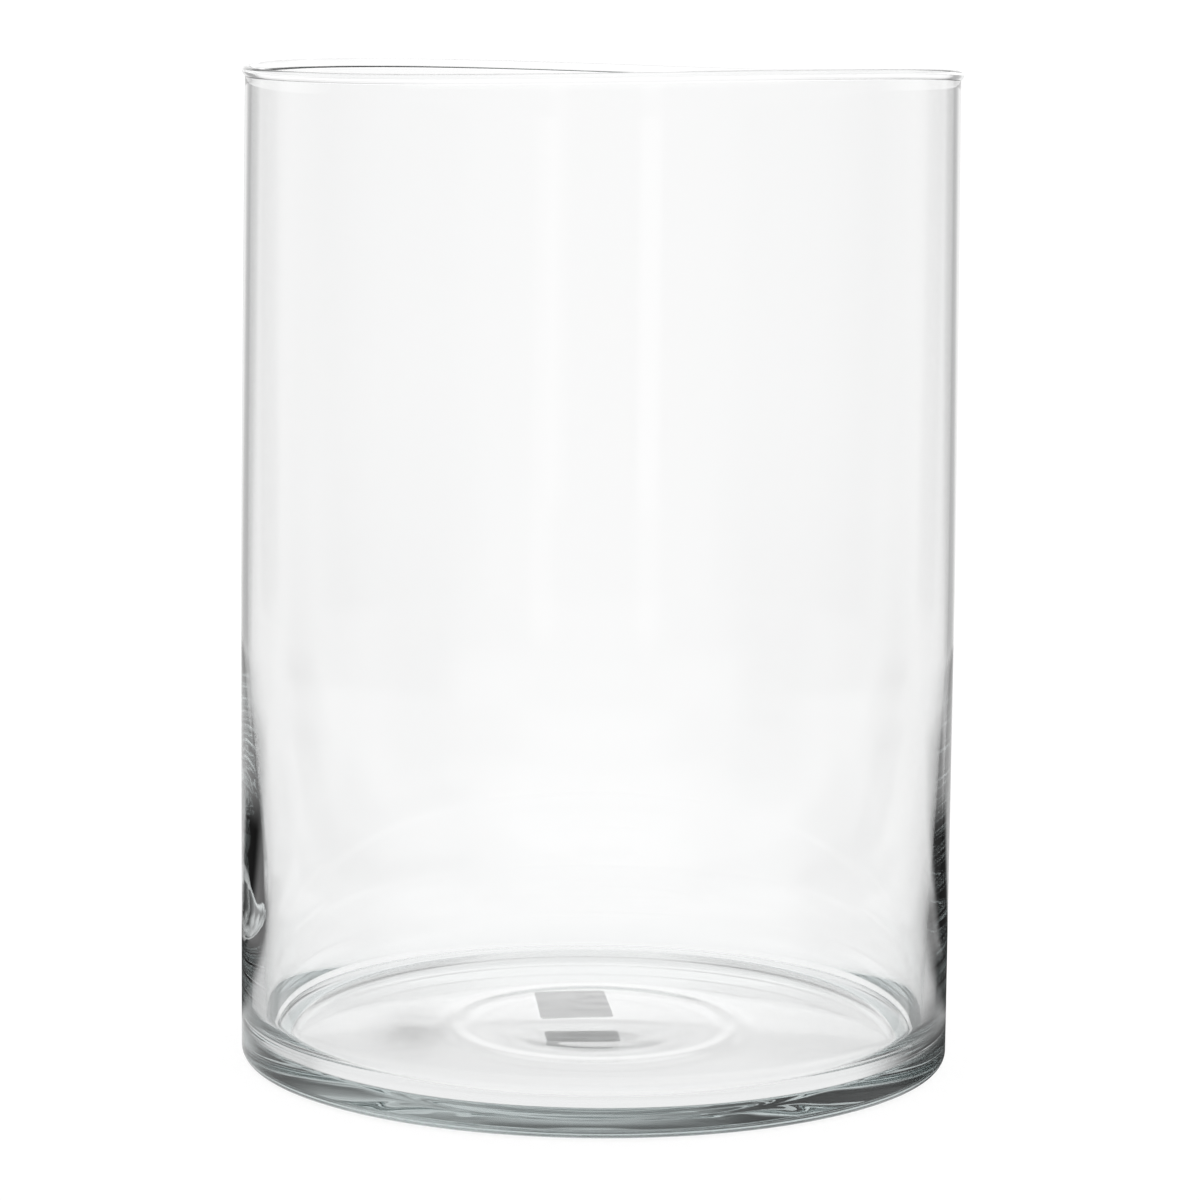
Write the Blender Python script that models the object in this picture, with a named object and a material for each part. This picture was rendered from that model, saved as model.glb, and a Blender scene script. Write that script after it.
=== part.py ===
"""A glass cylinder vase: one blown glass vessel, and the two small blank labels under its base.

Metres, +Z up. The origin is the centre of the circle that the vase stands on.
"""

from math import acos, cos, pi, radians, sin, tau

import bmesh
import bpy

# Driving dimensions.
HEIGHT = 0.282
WALL_RADIUS = 0.101          # outside of the straight lower wall
MOUTH_RADIUS = 0.0997        # outside of the wall just under the rim
DRAWN_IN_FROM = 0.135        # height above which the wall narrows to the mouth
DRAW_IN = 1.2                # how it narrows: 1 would be a straight taper
RIM_PROUD = 0.0008           # how far the fire-polished bead stands out from the wall
RIM_BEAD_RADIUS = 0.0014

# The wall is thin above and thick near the base, where the blown glass collects.
WALL_THIN = 0.0018
WALL_THICK = 0.0056
THIN_FROM = 0.118            # height above which the wall is thin
WALL_SWELL = 1.2             # how the thickness grows downwards: 1 would be a straight taper

# The floor, with its push-up in the middle and the wide curve that joins it to the wall.
FLOOR_HEIGHT = 0.0060
FLOOR_RADIUS = 0.0855
CORNER_HEIGHT = 0.0120
PUSH_UP_RADIUS = 0.042
PUSH_UP_HEIGHT = 0.0010

# The underside: a small heel round, a flat ring to stand on, and a shallow dome within it.
HEEL_RADIUS = 0.0030
FOOT_INNER_RADIUS = 0.088
DOME_HEIGHT = 0.0010

# The labels under the dome, on one line beside the axis that is turned a little from the Y axis.
LABELS_TURN = radians(5.0)
LABELS_ASIDE = 0.0040        # from the vessel's axis to the line
LABEL_WIDTH = 0.021
BASE_LABEL_DEPTH = 0.011
BASE_LABEL_ALONG = -0.0095   # along the line, to the label's middle
CARE_LABEL_DEPTH = 0.032
CARE_LABEL_ALONG = 0.0250
LABEL_THICKNESS = 0.0003
LABEL_CORNER = 0.0015
LABEL_UNDERSIDE = 0.00015    # its height, which leaves 0.3 mm or more up to the glass

# How finely the round shapes are cut.
TURN_STEPS = 96
CORNER_STEPS = 5
WALL_STEPS = 7
DRAW_IN_STEPS = 4
RIM_STEPS = 6                # over the bead; even, so that one point is its top
UNDER_RIM_STEPS = 2          # under it, on each side
HEEL_STEPS = 3
DOME_STEPS = 5
PUSH_UP_STEPS = 4
LABEL_CORNER_STEPS = 4
MERGE_DISTANCE = 0.00001

GLASS_COLOUR = (0.90, 0.93, 0.93, 0.35)
LABEL_COLOUR = (0.42, 0.42, 0.43, 1.0)


def clear_scene():
    for old in list(bpy.data.objects):
        bpy.data.objects.remove(old, do_unlink=True)


def material(name, colour, roughness):
    """A Principled material; a colour whose last number is under 1 lets light through."""
    made = bpy.data.materials.new(name)
    made.use_nodes = True
    made.diffuse_color = colour
    shader = made.node_tree.nodes["Principled BSDF"]
    shader.inputs["Base Color"].default_value = (*colour[:3], 1.0)
    shader.inputs["Roughness"].default_value = roughness
    shader.inputs["Metallic"].default_value = 0.0
    if colour[3] < 1.0:
        shader.inputs["Transmission Weight"].default_value = 1.0
    return made


def steps_between(start, end, count):
    """The values from start to end in count equal steps, both ends included."""
    return [start + (end - start) * step / count for step in range(count + 1)]


def wall_thickness(height):
    """How thick the wall is at a height: thin above, and thicker and thicker down to the corner."""
    share = (THIN_FROM - height) / (THIN_FROM - FLOOR_HEIGHT - CORNER_HEIGHT)
    return WALL_THIN + (WALL_THICK - WALL_THIN) * min(max(share, 0.0), 1.0) ** WALL_SWELL


def floor_profile():
    """The push-up, from the axis outwards, to where the flat floor ends."""
    points = []
    for radius in steps_between(0.0, PUSH_UP_RADIUS, PUSH_UP_STEPS):
        lift = PUSH_UP_HEIGHT * (0.5 + 0.5 * cos(pi * radius / PUSH_UP_RADIUS))
        points.append((radius, FLOOR_HEIGHT + lift))
    return points


def corner_profile():
    """The curve from the flat floor up to the inside of the wall."""
    width = WALL_RADIUS - WALL_THICK - FLOOR_RADIUS
    points = []
    for angle in steps_between(0.0, pi / 2, CORNER_STEPS):
        radius = FLOOR_RADIUS + width * sin(angle)
        points.append((radius, FLOOR_HEIGHT + CORNER_HEIGHT * (1.0 - cos(angle))))
    return points


def outer_radius(height):
    """The wall's outside: straight below, and drawn in a little towards the mouth."""
    share = max((height - DRAWN_IN_FROM) / (HEIGHT - DRAWN_IN_FROM), 0.0)
    return WALL_RADIUS - (WALL_RADIUS - MOUTH_RADIUS) * share ** DRAW_IN


def inner_wall_profile():
    """The inside of the wall where its thickness changes, from above the corner."""
    heights = steps_between(FLOOR_HEIGHT + CORNER_HEIGHT, THIN_FROM, WALL_STEPS)[1:]
    return [(WALL_RADIUS - wall_thickness(height), height) for height in heights]


def drawn_in_profile(inwards):
    """The narrowing upper wall without its ends, from below, moved inwards by a thickness."""
    heights = steps_between(DRAWN_IN_FROM, HEIGHT, DRAW_IN_STEPS)[:-1]
    return [(outer_radius(height) - inwards, height) for height in heights]


def rim_profile():
    """The bead, from the inside of the wall over the top and back in to the outside."""
    centre_radius = MOUTH_RADIUS + RIM_PROUD - RIM_BEAD_RADIUS
    centre_height = HEIGHT - RIM_BEAD_RADIUS
    inside = pi + acos((centre_radius - MOUTH_RADIUS + WALL_THIN) / RIM_BEAD_RADIUS)
    outside = -acos((MOUTH_RADIUS - centre_radius) / RIM_BEAD_RADIUS)
    angles = (steps_between(inside, pi, UNDER_RIM_STEPS)[:-1] + steps_between(pi, 0.0, RIM_STEPS)
              + steps_between(0.0, outside, UNDER_RIM_STEPS)[1:])
    return [(centre_radius + RIM_BEAD_RADIUS * cos(angle), centre_height + RIM_BEAD_RADIUS * sin(angle))
            for angle in angles]


def heel_profile():
    """The small round from the outside of the wall to the ring that the vase stands on."""
    centre_radius = WALL_RADIUS - HEEL_RADIUS
    return [(centre_radius + HEEL_RADIUS * cos(angle), HEEL_RADIUS - HEEL_RADIUS * sin(angle))
            for angle in steps_between(0.0, pi / 2, HEEL_STEPS)]


def underside_profile():
    """The dome, from the standing ring's inner edge to the axis."""
    return [(radius, DOME_HEIGHT * (1.0 - (radius / FOOT_INNER_RADIUS) ** 2))
            for radius in steps_between(FOOT_INNER_RADIUS, 0.0, DOME_STEPS)]


def glass_vessel():
    """The whole vessel, turned from its half section. The section runs from the axis out
    along the floor, up the inside, over the rim, down the outside and back to the axis."""
    section = (floor_profile() + corner_profile() + inner_wall_profile() + drawn_in_profile(WALL_THIN)
               + rim_profile() + drawn_in_profile(0.0)[::-1] + heel_profile() + underside_profile())
    mesh = bpy.data.meshes.new("glass_vessel")
    mesh.from_pydata([(radius, 0.0, height) for radius, height in section],
                     [(point, point + 1) for point in range(len(section) - 1)], [])
    vessel = bpy.data.objects.new("glass_vessel", mesh)
    bpy.context.collection.objects.link(vessel)
    turn = vessel.modifiers.new("turn", "SCREW")
    turn.axis = "Z"
    turn.angle = tau
    turn.steps = TURN_STEPS
    turn.render_steps = TURN_STEPS
    turn.use_merge_vertices = True
    turn.merge_threshold = MERGE_DISTANCE
    turn.use_smooth_shade = True
    mesh.materials.append(material("glass", GLASS_COLOUR, 0.03))
    return vessel


def label_outline(depth):
    """A label's rounded rectangle, anticlockwise seen from above."""
    points = []
    for corner, (side_x, side_y) in enumerate([(1, 1), (-1, 1), (-1, -1), (1, -1)]):
        centre_x = side_x * (LABEL_WIDTH / 2 - LABEL_CORNER)
        centre_y = side_y * (depth / 2 - LABEL_CORNER)
        for angle in steps_between(corner * pi / 2, (corner + 1) * pi / 2, LABEL_CORNER_STEPS):
            points.append((centre_x + LABEL_CORNER * cos(angle), centre_y + LABEL_CORNER * sin(angle)))
    return points


def label(name, depth, along, film):
    """A blank label under the dome, clear of the glass, with its middle on the labels' line."""
    mesh = bpy.data.meshes.new(name)
    shape = bmesh.new()
    face = shape.faces.new([shape.verts.new((x, y, 0.0)) for x, y in label_outline(depth)])
    top = bmesh.ops.extrude_face_region(shape, geom=[face])
    raised = [item for item in top["geom"] if isinstance(item, bmesh.types.BMVert)]
    bmesh.ops.translate(shape, verts=raised, vec=(0.0, 0.0, LABEL_THICKNESS))
    bmesh.ops.recalc_face_normals(shape, faces=shape.faces)
    shape.to_mesh(mesh)
    shape.free()
    made = bpy.data.objects.new(name, mesh)
    bpy.context.collection.objects.link(made)
    made.location = (-LABELS_ASIDE - along * sin(LABELS_TURN), along * cos(LABELS_TURN), LABEL_UNDERSIDE)
    made.rotation_euler.z = LABELS_TURN
    mesh.materials.append(film)
    return made


clear_scene()
glass_vessel()
label_film = material("label", LABEL_COLOUR, 0.7)
label("base_label", BASE_LABEL_DEPTH, BASE_LABEL_ALONG, label_film)
label("care_label", CARE_LABEL_DEPTH, CARE_LABEL_ALONG, label_film)
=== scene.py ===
"""The looks of the glass cylinder vase: the blown glass, its two labels, and a plain pale studio."""

from math import acos, atan2, cos, exp, pi, radians, sin, tau

import bpy
from mathutils import Matrix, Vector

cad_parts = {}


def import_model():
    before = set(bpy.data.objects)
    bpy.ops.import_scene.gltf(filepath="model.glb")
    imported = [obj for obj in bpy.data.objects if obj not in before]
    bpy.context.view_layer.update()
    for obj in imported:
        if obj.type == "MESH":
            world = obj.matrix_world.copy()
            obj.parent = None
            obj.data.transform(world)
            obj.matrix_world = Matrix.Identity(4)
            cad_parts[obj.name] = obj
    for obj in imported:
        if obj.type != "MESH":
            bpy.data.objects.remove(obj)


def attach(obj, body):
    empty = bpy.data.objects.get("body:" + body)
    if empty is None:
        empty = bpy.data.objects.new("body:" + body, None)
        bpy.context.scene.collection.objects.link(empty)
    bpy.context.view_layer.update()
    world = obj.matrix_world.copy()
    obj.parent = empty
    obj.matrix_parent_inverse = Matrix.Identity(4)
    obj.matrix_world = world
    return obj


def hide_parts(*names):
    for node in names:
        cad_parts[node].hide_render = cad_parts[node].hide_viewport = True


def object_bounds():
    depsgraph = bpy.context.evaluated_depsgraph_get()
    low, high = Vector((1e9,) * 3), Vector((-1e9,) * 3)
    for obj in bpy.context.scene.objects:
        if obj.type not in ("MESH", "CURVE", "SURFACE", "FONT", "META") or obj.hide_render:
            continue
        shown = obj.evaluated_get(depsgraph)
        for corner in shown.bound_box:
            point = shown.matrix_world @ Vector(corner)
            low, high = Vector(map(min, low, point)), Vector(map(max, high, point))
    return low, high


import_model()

cad_low, cad_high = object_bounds()

# The vessel, from the CAD model's box and its driving dimensions.
HEIGHT = cad_high.z
WALL_RADIUS = cad_high.x
MOUTH_RADIUS = 0.0997
DRAWN_IN_FROM = 0.135
DRAW_IN = 1.2
RIM_PROUD = 0.0008
RIM_BEAD_RADIUS = 0.0014
WALL_THIN = 0.0018
WALL_THICK = 0.0056
WALL_SWELL = 1.2
THIN_FROM = 0.118
THICK_BELOW = 0.018
FLOOR_HEIGHT = 0.0060
FLOOR_RADIUS = 0.0855
PUSH_UP_RADIUS = 0.042
PUSH_UP_HEIGHT = 0.0010
HEEL_RADIUS = 0.0030
FOOT_INNER_RADIUS = 0.088
DOME_HEIGHT = 0.0010

# The rings that the push-up left in the floor's top: radius, half width and height.
RIPPLES = ((0.0270, 0.0034, 0.00007), (0.0415, 0.0030, 0.00012))

# The wave in the wall's inside on the -X side, steeper below its crest than above: the crest's height,
# how far it reaches below and above, its width as a cosine, and its depth.
WAVE_HEIGHT = 0.0490
WAVE_BELOW = 0.0100
WAVE_ABOVE = 0.0260
WAVE_WIDTH = 0.040
WAVE_DEPTH = 0.0020

# How far the hand-finished rim falls from its highest places, and where those are.
RIM_FALL = 0.0024
RIM_FALL_FROM = 0.225
RIM_HIGH = radians(135.0)

# How finely the turned shape is cut: round the vase, and along each stretch of its section.
SEGMENTS = 240
FLOOR_STEPS = 84
CORNER_STEPS = 18
INSIDE_STEPS = 128
RIM_STEPS = 28
OUTSIDE_STEPS = 90
HEEL_STEPS = 8
FOOT_STEPS = 4
DOME_STEPS = 44
SUPPORT = 0.0002             # how close the rings that hold a shape's end stand to it

# The glass: its tint in depth, the grain and strength of its drawing, and a smudge on the floor's top.
GLASS_IOR = 1.5
GLASS_TINT = (0.45, 0.533, 0.533, 1.0)
GLASS_DENSITY = 6.0
DRAWN_SCALE = (1.0, 1.0, 0.06)
DRAWN_GRAIN = 55.0
DRAWN_STRENGTH = 0.02
DRAWN_DEPTH = 0.0005
SMUDGE_AT = (-0.052, -0.010, 0.006)
SMUDGE_SIZE = (0.019, 0.038, 0.004)
SMUDGE_GRAIN = 90.0
SMUDGE_STRENGTH = 0.90

# The label film: its tones, its grain, and its lighter and darker patches, one a painted highlight, as
# centre, size and change.
BASE_LABEL_TONE = 0.56
CARE_LABEL_TONE = 0.78
PALEST_TONE = 0.92
FILM_ROUGHNESS = 0.6
FILM_GRAIN = 260.0
FILM_UNEVENNESS = 0.40
BASE_LABEL_PATCHES = (((-0.0100, -0.0090, 0.0), (0.0060, 0.0060, 0.01), 0.15),)
# The care label's lighter patch at its far -X corner is a painted highlight; its darker one is in the
# film.
CARE_LABEL_HIGHLIGHT_AND_PATCH = (((-0.0120, 0.0340, 0.0), (0.0090, 0.0110, 0.01), 0.50),
                      ((-0.0030, 0.0160, 0.0), (0.0110, 0.0060, 0.01), -0.15))
CARE_LABEL_BARS_AT = ((0.0010, 0.0280, 0.0), (0.0080, 0.0160, 0.01))
BAR_WAVES = 700.0            # radians to the metre, across the bars
BAR_STRENGTH = 0.25

# The two level sheets of the studio, under the vase.
SHEET_REACH = 80.0
CARDS_HEIGHT = -0.0002
STUDIO_FLOOR_HEIGHT = -0.0004
FLOOR_GREY = 0.20
FLOOR_ROUGHNESS = 0.9
FLOOR_GLOW = 0.85

# The cards' pale ground, and how much lighter it is straight ahead.
PALE_LEVEL = 0.72
AHEAD_GAIN = 0.18
AHEAD_CARD = ((0.0,), 12.0, 25.0, 0.30, 0.45, 0.0, 1.0)

# The cards. Each has its bearings in degrees from +Y to +X, the degrees to either side of them where
# it is whole and where it ends, the distances between which it changes, and its strength before and
# after that change.
DARK_CARDS = (
    ((42.0,), 18.0, 33.0, 0.19, 0.24, 0.93, 0.0),
    ((-45.0,), 18.0, 30.0, 0.19, 0.24, 0.93, 0.0),
    ((85.0,), 30.0, 40.0, 0.11, 0.14, 0.90, 0.0),
    ((46.0, -46.0), 5.0, 13.0, 0.40, 0.50, 0.95, 0.0),
    ((28.0, -28.0), 5.0, 12.0, 0.60, 0.90, 0.0, 0.35),
)
DARK_REAR_CARD = ((125.0, -125.0), 20.0, 38.0, 0.55, 0.90, 0.60, 0.0)
DARK_REAR_FROM = (0.25, 0.34)
DARK_FAR_CARDS = (
    ((180.0,), 60.0, 90.0, 0.80, 1.80, 0.40, 0.40),
    ((105.0, -105.0), 25.0, 45.0, 0.80, 1.80, 0.75, 0.50),
)
DARK_FAR_FROM = (0.50, 0.70)
BRIGHT_CARDS = (
    ((180.0,), 50.0, 75.0, 0.35, 0.50, 0.90, 0.0),
    ((-163.0, 165.0), 0.0, 7.0, 0.50, 1.20, 0.0, 0.65),
)

# The world's lights for reflected rays. Each has its bearings and their two widths as a card has, the
# degrees up between which it changes, and its level below and above them.
DIM_LEVEL = 0.03
OVERHEAD_LIGHT = (17.5, 31.0)
LIGHTS = (
    ((14.0,), 14.0, 38.0, 12.5, 18.5, 0.15, 1.00),
    ((20.0,), 8.0, 18.0, 12.5, 18.5, 0.90, 0.90),
    ((85.0,), 15.0, 30.0, 12.5, 18.5, 0.50, 0.50),
    ((180.0,), 55.0, 80.0, 2.0, 6.0, 0.0, 1.0),
)

# What rays reflected only once see of the world: a level all round, and more straight ahead.
ONCE_LEVEL = 0.43
ONCE_AHEAD = ((0.0,), 60.0, 90.0, 12.9, 14.2, 0.80, 0.20)

LENS = 128.0                 # millimetres, on a sensor 36 wide
SENSOR = 36.0
CAMERA_AT = (0.0006, -1.2007, 0.2963)
CAMERA_DIP = radians(7.852)
CAMERA_ROLL = radians(0.57)


def ease(value, start, end):
    """0 before start, 1 after end, and smooth between them."""
    share = min(max((value - start) / (end - start), 0.0), 1.0)
    return share * share * (3.0 - 2.0 * share)


def steps_between(start, end, count):
    return [start + (end - start) * step / count for step in range(count + 1)]


def held_steps(start, end, count):
    """Steps from start to end without the ends, and with one more step close to each end."""
    near = SUPPORT if end > start else -SUPPORT
    return [start + near] + steps_between(start, end, count)[1:-1] + [end - near]


def wall_thickness(height):
    share = min(max((THIN_FROM - height) / (THIN_FROM - THICK_BELOW), 0.0), 1.0)
    return WALL_THIN + (WALL_THICK - WALL_THIN) * share ** WALL_SWELL


def outer_radius(height):
    """The wall's outside: straight below, and drawn in a little towards the mouth."""
    share = max((height - DRAWN_IN_FROM) / (HEIGHT - DRAWN_IN_FROM), 0.0)
    return WALL_RADIUS - (WALL_RADIUS - MOUTH_RADIUS) * share ** DRAW_IN


def floor_rings():
    """The floor's top, with the push-up and the rings round it."""
    rings = []
    for radius in steps_between(0.0, FLOOR_RADIUS - SUPPORT, FLOOR_STEPS)[1:] + [FLOOR_RADIUS]:
        lift = PUSH_UP_HEIGHT * (1.0 - ease(radius, 0.0, PUSH_UP_RADIUS))
        for at, width, high in RIPPLES:
            lift += high * exp(-((radius - at) / width) ** 2)
        rings.append((radius, FLOOR_HEIGHT + lift))
    return rings


def corner_rings():
    """The curve from the floor up into the wall, a quarter of an ellipse."""
    width = WALL_RADIUS - WALL_THICK - FLOOR_RADIUS
    height = THICK_BELOW - FLOOR_HEIGHT
    rings = []
    for angle in steps_between(0.0, pi / 2, CORNER_STEPS)[1:]:
        rings.append((FLOOR_RADIUS + width * sin(angle), FLOOR_HEIGHT + height * (1.0 - cos(angle))))
    return rings


def inner_wall_rings():
    _, high = rim_circle_point(rim_angles()[0])
    return [(outer_radius(height) - wall_thickness(height), height)
            for height in held_steps(THICK_BELOW, high, INSIDE_STEPS)]


def rim_angles():
    """Where the bead's circle leaves the inside of the wall, and where it comes back to the outside."""
    inside = pi + acos((RIM_PROUD - RIM_BEAD_RADIUS + WALL_THIN) / RIM_BEAD_RADIUS)
    outside = -acos((RIM_BEAD_RADIUS - RIM_PROUD) / RIM_BEAD_RADIUS)
    return inside, outside


def rim_circle_point(angle):
    centre_radius = MOUTH_RADIUS + RIM_PROUD - RIM_BEAD_RADIUS
    centre_height = HEIGHT - RIM_BEAD_RADIUS
    return centre_radius + RIM_BEAD_RADIUS * cos(angle), centre_height + RIM_BEAD_RADIUS * sin(angle)


def rim_rings():
    inside, outside = rim_angles()
    return [rim_circle_point(angle) for angle in steps_between(inside, outside, RIM_STEPS)]


def outer_wall_rings():
    _, high = rim_circle_point(rim_angles()[1])
    return [(outer_radius(height), height) for height in held_steps(high, HEEL_RADIUS, OUTSIDE_STEPS)]


def heel_rings():
    centre_radius = WALL_RADIUS - HEEL_RADIUS
    return [(centre_radius + HEEL_RADIUS * cos(angle), HEEL_RADIUS - HEEL_RADIUS * sin(angle))
            for angle in steps_between(0.0, pi / 2, HEEL_STEPS)]


def underside_rings():
    """The ring that the vase stands on, and the shallow dome inside it."""
    foot = held_steps(WALL_RADIUS - HEEL_RADIUS, FOOT_INNER_RADIUS, FOOT_STEPS)
    rings = [(radius, 0.0) for radius in foot]
    for radius in steps_between(FOOT_INNER_RADIUS, 0.0, DOME_STEPS)[:-1]:
        rings.append((radius, DOME_HEIGHT * (1.0 - (radius / FOOT_INNER_RADIUS) ** 2)))
    return rings


def waved(ring, x):
    """The ring's radius where its direction's X is x: only the wall's inside has the wave."""
    radius, height = ring
    inside = THICK_BELOW < height < HEIGHT / 2 and radius < WALL_RADIUS
    if not inside:
        return radius
    reach = WAVE_BELOW if height < WAVE_HEIGHT else WAVE_ABOVE
    upwards = (height - WAVE_HEIGHT) / reach
    sideways = (1.0 + x) / WAVE_WIDTH
    return radius - WAVE_DEPTH * exp(-upwards ** 2 - sideways ** 2)


def rim_fall(height, x, y):
    """How far the rim stands lower towards a direction: it has two high and two low places."""
    low = 0.5 - 0.5 * cos(2.0 * (atan2(y, x) - RIM_HIGH))
    return RIM_FALL * low * ease(height, RIM_FALL_FROM, HEIGHT)


def vessel_mesh():
    """The section's rings joined all the way round, and closed with a point in the middle of both ends."""
    rings = (floor_rings() + corner_rings() + inner_wall_rings() + rim_rings()
             + outer_wall_rings() + heel_rings() + underside_rings())
    directions = [(cos(tau * step / SEGMENTS), sin(tau * step / SEGMENTS)) for step in range(SEGMENTS)]
    points = [(0.0, 0.0, FLOOR_HEIGHT + PUSH_UP_HEIGHT)]
    for ring in rings:
        for x, y in directions:
            radius = waved(ring, x)
            points.append((radius * x, radius * y, ring[1] - rim_fall(ring[1], x, y)))
    last = len(points)
    points.append((0.0, 0.0, DOME_HEIGHT))
    faces = []
    for step in range(SEGMENTS):
        after = (step + 1) % SEGMENTS
        faces.append((0, 1 + step, 1 + after))
        for ring in range(len(rings) - 1):
            near = 1 + ring * SEGMENTS
            far = near + SEGMENTS
            faces.append((near + step, far + step, far + after, near + after))
        end = 1 + (len(rings) - 1) * SEGMENTS
        faces.append((end + step, last, end + after))
    mesh = bpy.data.meshes.new("blown_glass")
    mesh.from_pydata(points, [], faces)
    mesh.shade_smooth()
    return mesh


# ---------------------------------------------------------------- materials

def math_node(tree, operation, first, second=None, third=None):
    """A Math node; each input is a number or an output to link."""
    node = tree.nodes.new("ShaderNodeMath")
    node.operation = operation
    for socket, value in zip(node.inputs, (first, second, third)):
        if isinstance(value, (int, float)):
            socket.default_value = value
        elif value is not None:
            tree.links.new(value, socket)
    return node.outputs[0]


def smooth_node(tree, value, start, end, low=0.0, high=1.0):
    """low before start, high after end, and smooth between them."""
    node = tree.nodes.new("ShaderNodeMapRange")
    node.interpolation_type = "SMOOTHSTEP"
    for name, number in (("From Min", start), ("From Max", end), ("To Min", low), ("To Max", high)):
        node.inputs[name].default_value = number
    tree.links.new(value, node.inputs["Value"])
    return node.outputs["Result"]


def towards(tree, direction, bearing):
    """The cosine of the angle between a direction and a level bearing, in degrees from +Y to +X."""
    node = tree.nodes.new("ShaderNodeVectorMath")
    node.operation = "DOT_PRODUCT"
    tree.links.new(direction, node.inputs[0])
    node.inputs[1].default_value = (sin(radians(bearing)), cos(radians(bearing)), 0.0)
    return node.outputs["Value"]


def larger(tree, first, second):
    return math_node(tree, "MAXIMUM", first, second)


def times(tree, first, second):
    return math_node(tree, "MULTIPLY", first, second)


def lobes(tree, direction, bearings, inner, outer):
    """1 within inner degrees of any of the bearings, 0 beyond outer degrees from all of them."""
    best = None
    for bearing in bearings:
        cosine = towards(tree, direction, bearing)
        lobe = smooth_node(tree, cosine, cos(radians(outer)), cos(radians(inner)))
        best = lobe if best is None else larger(tree, best, lobe)
    return best


def noise(tree, place, scale, detail):
    texture = tree.nodes.new("ShaderNodeTexNoise")
    texture.inputs["Scale"].default_value = scale
    texture.inputs["Detail"].default_value = detail
    tree.links.new(place, texture.inputs["Vector"])
    return texture.outputs["Fac"]


def stretched(tree, place, scale):
    """The place with each axis multiplied, so that a pattern is drawn out along the small ones."""
    node = tree.nodes.new("ShaderNodeVectorMath")
    node.operation = "MULTIPLY"
    node.inputs[1].default_value = scale
    tree.links.new(place, node.inputs[0])
    return node.outputs["Vector"]


def spot(tree, place, centre, size):
    """1 at the centre, and 0 on and beyond the ellipsoid with these three radii round it."""
    node = tree.nodes.new("ShaderNodeVectorMath")
    node.operation = "DISTANCE"
    scale = [1.0 / length for length in size]
    tree.links.new(stretched(tree, place, scale), node.inputs[0])
    node.inputs[1].default_value = [at * factor for at, factor in zip(centre, scale)]
    return smooth_node(tree, node.outputs["Value"], 0.0, 1.0, 1.0, 0.0)


def grey(tree, value):
    node = tree.nodes.new("ShaderNodeCombineColor")
    for socket in node.inputs[:3]:
        tree.links.new(value, socket)
    return node.outputs["Color"]


def glass_material():
    """Clear glass, faintly drawn upwards and grey-green in depth, with a smudge on its floor."""
    made = bpy.data.materials.new("clear_glass")
    made.use_nodes = True
    tree = made.node_tree
    shader = tree.nodes["Principled BSDF"]
    shader.inputs["Transmission Weight"].default_value = 1.0
    shader.inputs["Roughness"].default_value = 0.0
    shader.inputs["IOR"].default_value = GLASS_IOR
    place = tree.nodes.new("ShaderNodeTexCoord").outputs["Object"]
    smudge = times(tree, spot(tree, place, SMUDGE_AT, SMUDGE_SIZE), noise(tree, place, SMUDGE_GRAIN, 3.0))
    clearness = math_node(tree, "MULTIPLY_ADD", smudge, -SMUDGE_STRENGTH, 1.0)
    tree.links.new(grey(tree, clearness), shader.inputs["Base Color"])
    drawn = noise(tree, stretched(tree, place, DRAWN_SCALE), DRAWN_GRAIN, 2.0)
    bump = tree.nodes.new("ShaderNodeBump")
    bump.inputs["Strength"].default_value = DRAWN_STRENGTH
    bump.inputs["Distance"].default_value = DRAWN_DEPTH
    tree.links.new(drawn, bump.inputs["Height"])
    tree.links.new(bump.outputs["Normal"], shader.inputs["Normal"])
    depth = tree.nodes.new("ShaderNodeVolumeAbsorption")
    depth.inputs["Color"].default_value = GLASS_TINT
    depth.inputs["Density"].default_value = GLASS_DENSITY
    tree.links.new(depth.outputs["Volume"], tree.nodes["Material Output"].inputs["Volume"])
    return made


def glass_vessel():
    vessel = bpy.data.objects.new("blown_glass", vessel_mesh())
    bpy.context.collection.objects.link(vessel)
    vessel.data.materials.append(glass_material())
    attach(vessel, "root")
    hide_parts("glass_vessel")
    return vessel


def label_material(name, tone, patches):
    """An uneven grey film, not painted yet, with its texture's place and its level of grey; a patch can be
    a painted highlight.
    """
    made = bpy.data.materials.new(name)
    made.use_nodes = True
    tree = made.node_tree
    tree.nodes["Principled BSDF"].inputs["Roughness"].default_value = FILM_ROUGHNESS
    place = tree.nodes.new("ShaderNodeTexCoord").outputs["Object"]
    grain = noise(tree, place, FILM_GRAIN, 4.0)
    level = math_node(tree, "MULTIPLY_ADD", grain, FILM_UNEVENNESS, tone - FILM_UNEVENNESS / 2)
    for centre, size, change in patches:
        level = math_node(tree, "MULTIPLY_ADD", spot(tree, place, centre, size), change, level)
    return made, place, level


def paint(made, level):
    """Give the film its level as a colour, no paler than white paper."""
    tree = made.node_tree
    level = math_node(tree, "MINIMUM", level, PALEST_TONE)
    tree.links.new(grey(tree, level), tree.nodes["Principled BSDF"].inputs["Base Color"])


def base_label_material():
    made, _, level = label_material("base_label_film", BASE_LABEL_TONE, BASE_LABEL_PATCHES)
    paint(made, level)
    return made


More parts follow.
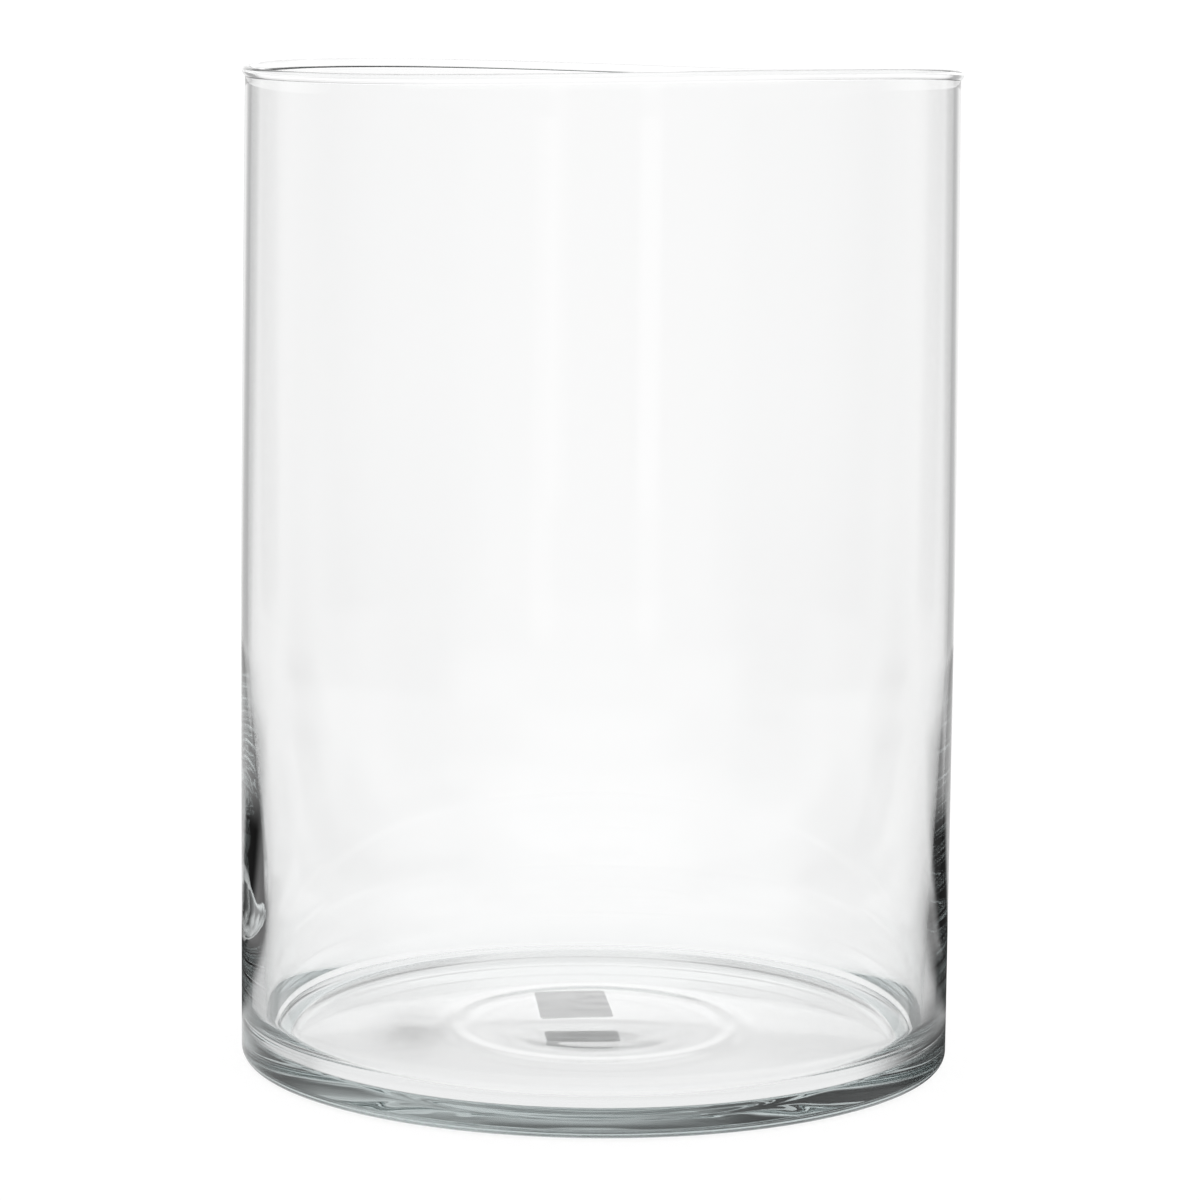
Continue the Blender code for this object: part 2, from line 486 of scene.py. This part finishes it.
def care_label_material():
    """The larger label, with soft plain bars across one end, and a painted highlight near its far -X
    corner.
    """
    made, place, level = label_material("care_label_film", CARE_LABEL_TONE, CARE_LABEL_HIGHLIGHT_AND_PATCH)
    tree = made.node_tree
    parts = tree.nodes.new("ShaderNodeSeparateXYZ")
    tree.links.new(place, parts.inputs[0])
    wave = math_node(tree, "SINE", times(tree, parts.outputs["Y"], BAR_WAVES))
    bars = times(tree, wave, spot(tree, place, *CARE_LABEL_BARS_AT))
    paint(made, math_node(tree, "MULTIPLY_ADD", bars, BAR_STRENGTH, level))
    return made


def label_finish():
    films = {"base_label": base_label_material(), "care_label": care_label_material()}
    for name, film in films.items():
        for slot in bpy.data.objects[name].material_slots:
            slot.material = film


# ---------------------------------------------------------------- the studio

def inner_reflections(tree):
    """How often a ray has been reflected by the glass before it gets here."""
    return tree.nodes.new("ShaderNodeLightPath").outputs["Glossy Depth"]


def level_sheet(name, height):
    """A wide level sheet, which is part of the studio and not of the object."""
    corners = [(-SHEET_REACH, -SHEET_REACH), (SHEET_REACH, -SHEET_REACH),
               (SHEET_REACH, SHEET_REACH), (-SHEET_REACH, SHEET_REACH)]
    mesh = bpy.data.meshes.new(name)
    mesh.from_pydata([(x, y, height) for x, y in corners], [], [(0, 1, 2, 3)])
    sheet = bpy.data.objects.new(name, mesh)
    bpy.context.collection.objects.link(sheet)
    return sheet


def studio_floor():
    """The white floor, which the camera sees directly and through the clear glass."""
    floor = level_sheet("studio_floor", STUDIO_FLOOR_HEIGHT)
    made = bpy.data.materials.new("studio_floor")
    made.use_nodes = True
    shader = made.node_tree.nodes["Principled BSDF"]
    shader.inputs["Base Color"].default_value = (FLOOR_GREY, FLOOR_GREY, FLOOR_GREY, 1.0)
    shader.inputs["Roughness"].default_value = FLOOR_ROUGHNESS
    shader.inputs["Specular IOR Level"].default_value = 0.0
    shader.inputs["Emission Color"].default_value = (1.0, 1.0, 1.0, 1.0)
    shader.inputs["Emission Strength"].default_value = FLOOR_GLOW
    floor.data.materials.append(made)
    return floor


def strongest_card(tree, bearing, radius, cards):
    """The strongest of some cards at a place: a stretch of bearings times a stretch of distances."""
    best = None
    for bearings, whole, end, near, far, before, after in cards:
        card = times(tree, lobes(tree, bearing, bearings, whole, end),
                     smooth_node(tree, radius, near, far, before, after))
        best = card if best is None else larger(tree, best, card)
    return best


def card_level(tree, bearing, radius):
    """How bright the cards' sheet is: a pale ground, dark cards on it, and bright cards over them."""
    ahead = strongest_card(tree, bearing, radius, (AHEAD_CARD,))
    pale = math_node(tree, "MULTIPLY_ADD", ahead, AHEAD_GAIN, PALE_LEVEL)
    rear = times(tree, strongest_card(tree, bearing, radius, (DARK_REAR_CARD,)),
                 smooth_node(tree, radius, *DARK_REAR_FROM))
    far = times(tree, strongest_card(tree, bearing, radius, DARK_FAR_CARDS),
                smooth_node(tree, radius, *DARK_FAR_FROM))
    dark = larger(tree, strongest_card(tree, bearing, radius, DARK_CARDS), larger(tree, rear, far))
    lit = times(tree, pale, math_node(tree, "SUBTRACT", 1.0, dark))
    return larger(tree, lit, strongest_card(tree, bearing, radius, BRIGHT_CARDS))


def studio_cards():
    """The cards that the glass's reflections pick up, which nothing else sees."""
    cards = level_sheet("studio_cards", CARDS_HEIGHT)
    cards.visible_camera = False
    cards.visible_diffuse = False
    cards.visible_shadow = False
    made = bpy.data.materials.new("studio_cards")
    made.use_nodes = True
    tree = made.node_tree
    tree.nodes.clear()
    place = tree.nodes.new("ShaderNodeNewGeometry").outputs["Position"]
    length = tree.nodes.new("ShaderNodeVectorMath")
    length.operation = "LENGTH"
    tree.links.new(place, length.inputs[0])
    unit = tree.nodes.new("ShaderNodeVectorMath")
    unit.operation = "NORMALIZE"
    tree.links.new(place, unit.inputs[0])
    card = tree.nodes.new("ShaderNodeEmission")
    level = card_level(tree, unit.outputs["Vector"], length.outputs["Value"])
    tree.links.new(level, card.inputs["Strength"])
    clear = tree.nodes.new("ShaderNodeBsdfTransparent")
    mixed = tree.nodes.new("ShaderNodeMixShader")
    out = tree.nodes.new("ShaderNodeOutputMaterial")
    tree.links.new(math_node(tree, "GREATER_THAN", inner_reflections(tree), 0.5), mixed.inputs["Fac"])
    tree.links.new(clear.outputs[0], mixed.inputs[1])
    tree.links.new(card.outputs[0], mixed.inputs[2])
    tree.links.new(mixed.outputs[0], out.inputs["Surface"])
    cards.data.materials.append(made)
    return cards


def risen(tree, height, start, end, low=0.0, high=1.0):
    """low below start degrees up, high above end degrees up, and smooth between them."""
    return smooth_node(tree, height, sin(radians(start)), sin(radians(end)), low, high)


def light(tree, direction, height, bearings, whole, end, start, full, low, high):
    """One of the world's lights: a stretch of bearings times a stretch of heights."""
    return times(tree, lobes(tree, direction, bearings, whole, end),
                 risen(tree, height, start, full, low, high))


def world():
    """White all round for direct light, and for reflections dim below a wide overhead light."""
    made = bpy.data.worlds.new("studio")
    bpy.context.scene.world = made
    made.use_nodes = True
    tree = made.node_tree
    background = tree.nodes["Background"]
    direction = tree.nodes.new("ShaderNodeTexCoord").outputs["Generated"]
    parts = tree.nodes.new("ShaderNodeSeparateXYZ")
    tree.links.new(direction, parts.inputs[0])
    height = parts.outputs["Z"]
    brightest = risen(tree, height, *OVERHEAD_LIGHT)
    for values in LIGHTS:
        brightest = larger(tree, brightest, light(tree, direction, height, *values))
    reflected = math_node(tree, "MULTIPLY_ADD", brightest, 1.0 - DIM_LEVEL, DIM_LEVEL)
    depth = inner_reflections(tree)
    level = math_node(tree, "ADD", light(tree, direction, height, *ONCE_AHEAD), ONCE_LEVEL)
    once = times(tree, level, math_node(tree, "LESS_THAN", depth, 1.5))
    direct = math_node(tree, "LESS_THAN", depth, 0.5)
    tree.links.new(larger(tree, larger(tree, reflected, once), direct), background.inputs["Strength"])
    background.inputs["Color"].default_value = (1.0, 1.0, 1.0, 1.0)


def camera():
    lens = bpy.data.cameras.new("camera")
    lens.sensor_width = SENSOR
    lens.lens = LENS
    eye = bpy.data.objects.new("camera", lens)
    bpy.context.collection.objects.link(eye)
    eye.location = CAMERA_AT
    look = Matrix.Rotation(pi / 2 - CAMERA_DIP, 4, "X") @ Matrix.Rotation(CAMERA_ROLL, 4, "Z")
    eye.rotation_euler = look.to_euler()
    bpy.context.scene.camera = eye


scene = bpy.context.scene
scene.view_settings.view_transform = "Standard"
scene.view_settings.look = "None"
scene.cycles.max_bounces = 40
scene.cycles.glossy_bounces = 32
scene.cycles.transmission_bounces = 32

glass_vessel()
label_finish()
studio_floor()
studio_cards()
world()
camera()
